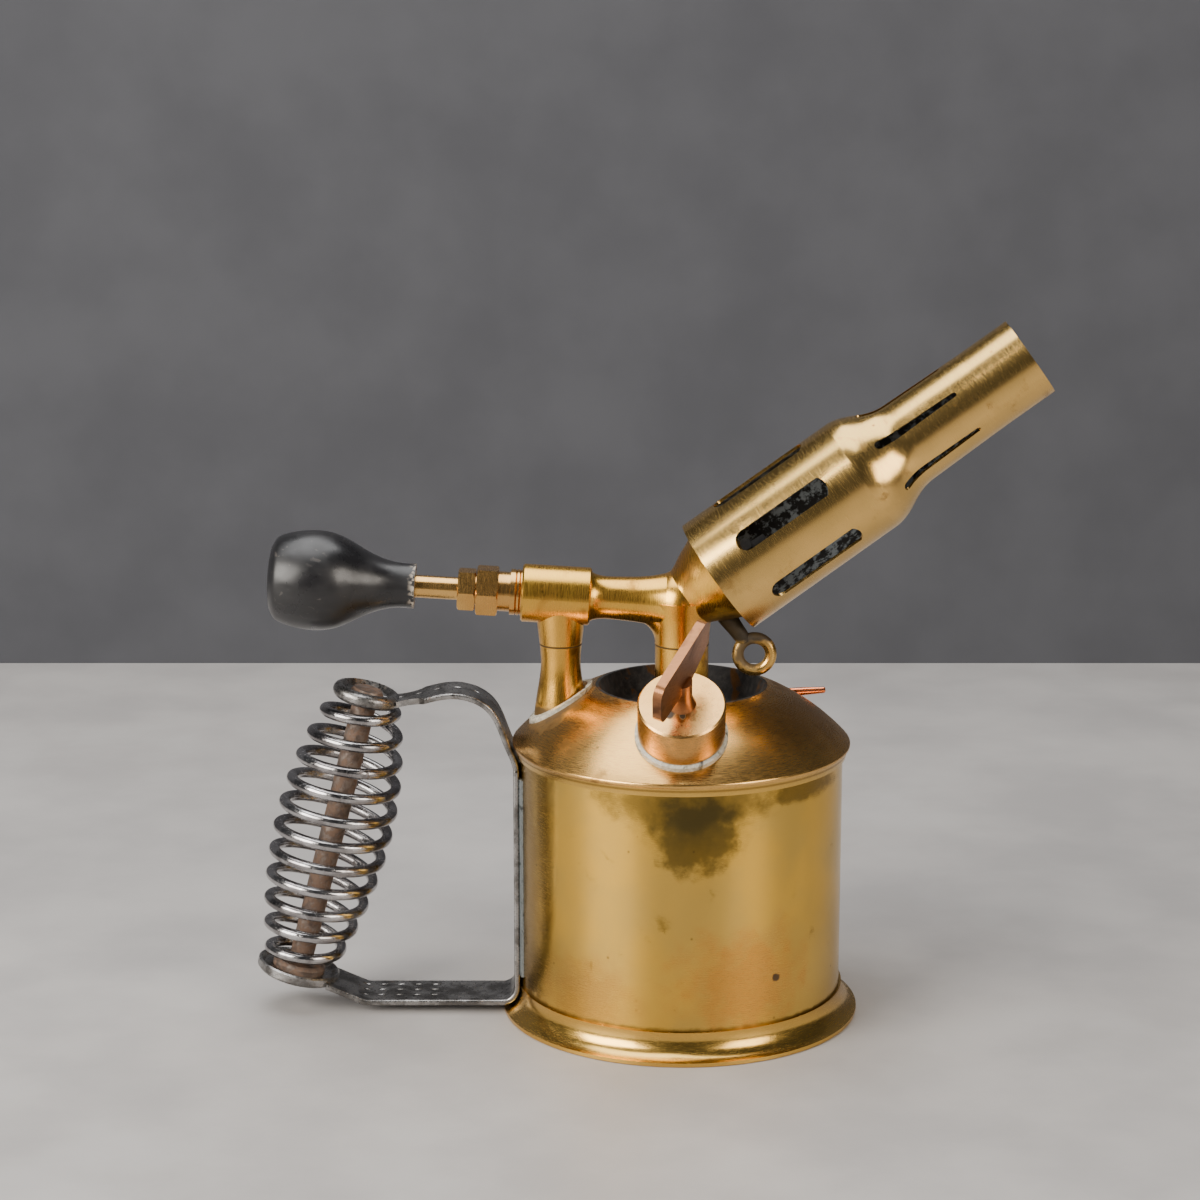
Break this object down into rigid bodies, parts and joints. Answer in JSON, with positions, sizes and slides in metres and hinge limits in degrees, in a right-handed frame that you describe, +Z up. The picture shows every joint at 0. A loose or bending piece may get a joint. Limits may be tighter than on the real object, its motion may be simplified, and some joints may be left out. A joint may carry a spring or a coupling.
{
  "type": "self-blowing blowlamp",
  "caption": "Brass self-blowing blowlamp with a round tank, priming cup, slotted upswept burner, knob-operated valve, screw filler cap and coil-grip handle.",
  "frame": {"origin": "where the tank's axis meets the surface the lamp stands on", "axes": "+Z up, +X the way the burner points, -Y the side with the filler cap"},
  "size_m": [0.2289, 0.1177, 0.2022],
  "materials": {
    "body_brass": "drawn brass sheet, worn, tarnished in patches",
    "spun_brass": "spun brass, satin, warm",
    "sooted_brass": "brass under soot",
    "cast_brass": "cast and turned brass, worn bright",
    "burner_brass": "brushed brass, heat tinted",
    "turned_brass": "turned brass",
    "bronze": "dark bronze casting",
    "copper": "drawn copper",
    "solder": "soft solder, dull grey",
    "dark_steel": "dark worn strip steel",
    "steel_wire": "polished steel wire with rust in the shade",
    "rusty_steel": "steel rod with brown rust",
    "black_wood": "turned hardwood, black lacquer, scuffed",
    "leather": "oiled leather washer",
    "cotton": "twisted cotton wick",
    "graphite": "graphited cord packing"
  },
  "bodies": {
    "lamp": {"foot_ring": "spun_brass", "tank_body": "body_brass", "tank_bottom": "body_brass", "tank_top": "spun_brass", "priming_cup": "sooted_brass", "riser_tube": "cast_brass", "riser_solder": "solder", "fuel_wick": "cotton", "support_post": "cast_brass", "valve_casting": "cast_brass", "eye_plug": "cast_brass", "jet_nipple": "sooted_brass", "burner_tube": "burner_brass", "stuffing_box": "turned_brass", "gland_packing": "graphite", "gland_nut": "turned_brass", "filler_neck": "turned_brass", "filler_solder": "solder", "vent_pin": "copper", "handle_strap": "dark_steel", "handle_rod": "rusty_steel", "coil_seat": "rusty_steel", "handle_coil": "steel_wire", "strap_solder": "solder"},
    "cap_lift": {"cap_washer": "leather"},
    "cap": {"filler_cap": "spun_brass", "cap_wing": "bronze"},
    "spindle": {"valve_spindle": "turned_brass"},
    "knob": {"valve_knob": "black_wood"}
  },
  "joints": [
    {"name": "cap_lift", "type": "slide", "parent": "lamp", "child": "cap_lift", "axis": [-0.0148, -0.5662, 0.8241], "range_m": [0, 0.0075]},
    {"name": "cap_turn", "type": "hinge", "parent": "cap_lift", "child": "cap", "pos_m": [-0.00093, -0.03569, 0.09191], "axis": [-0.0148, -0.5662, 0.8241], "range_deg": [0, 1800]},
    {"name": "spindle_travel", "type": "slide", "parent": "lamp", "child": "spindle", "axis": [-0.9981, 0, 0.061], "range_m": [0, 0.0025]},
    {"name": "knob_turn", "type": "hinge", "parent": "spindle", "child": "knob", "pos_m": [-0.07646, 0, 0.12618], "axis": [-0.9981, 0, 0.061], "range_deg": [0, 900]}
  ],
  "couplings": [
    {"joint": "cap_lift", "follows": "cap_turn", "m_per_rad": 0.00023873},
    {"joint": "spindle_travel", "follows": "knob_turn", "m_per_rad": 0.00015915}
  ]
}
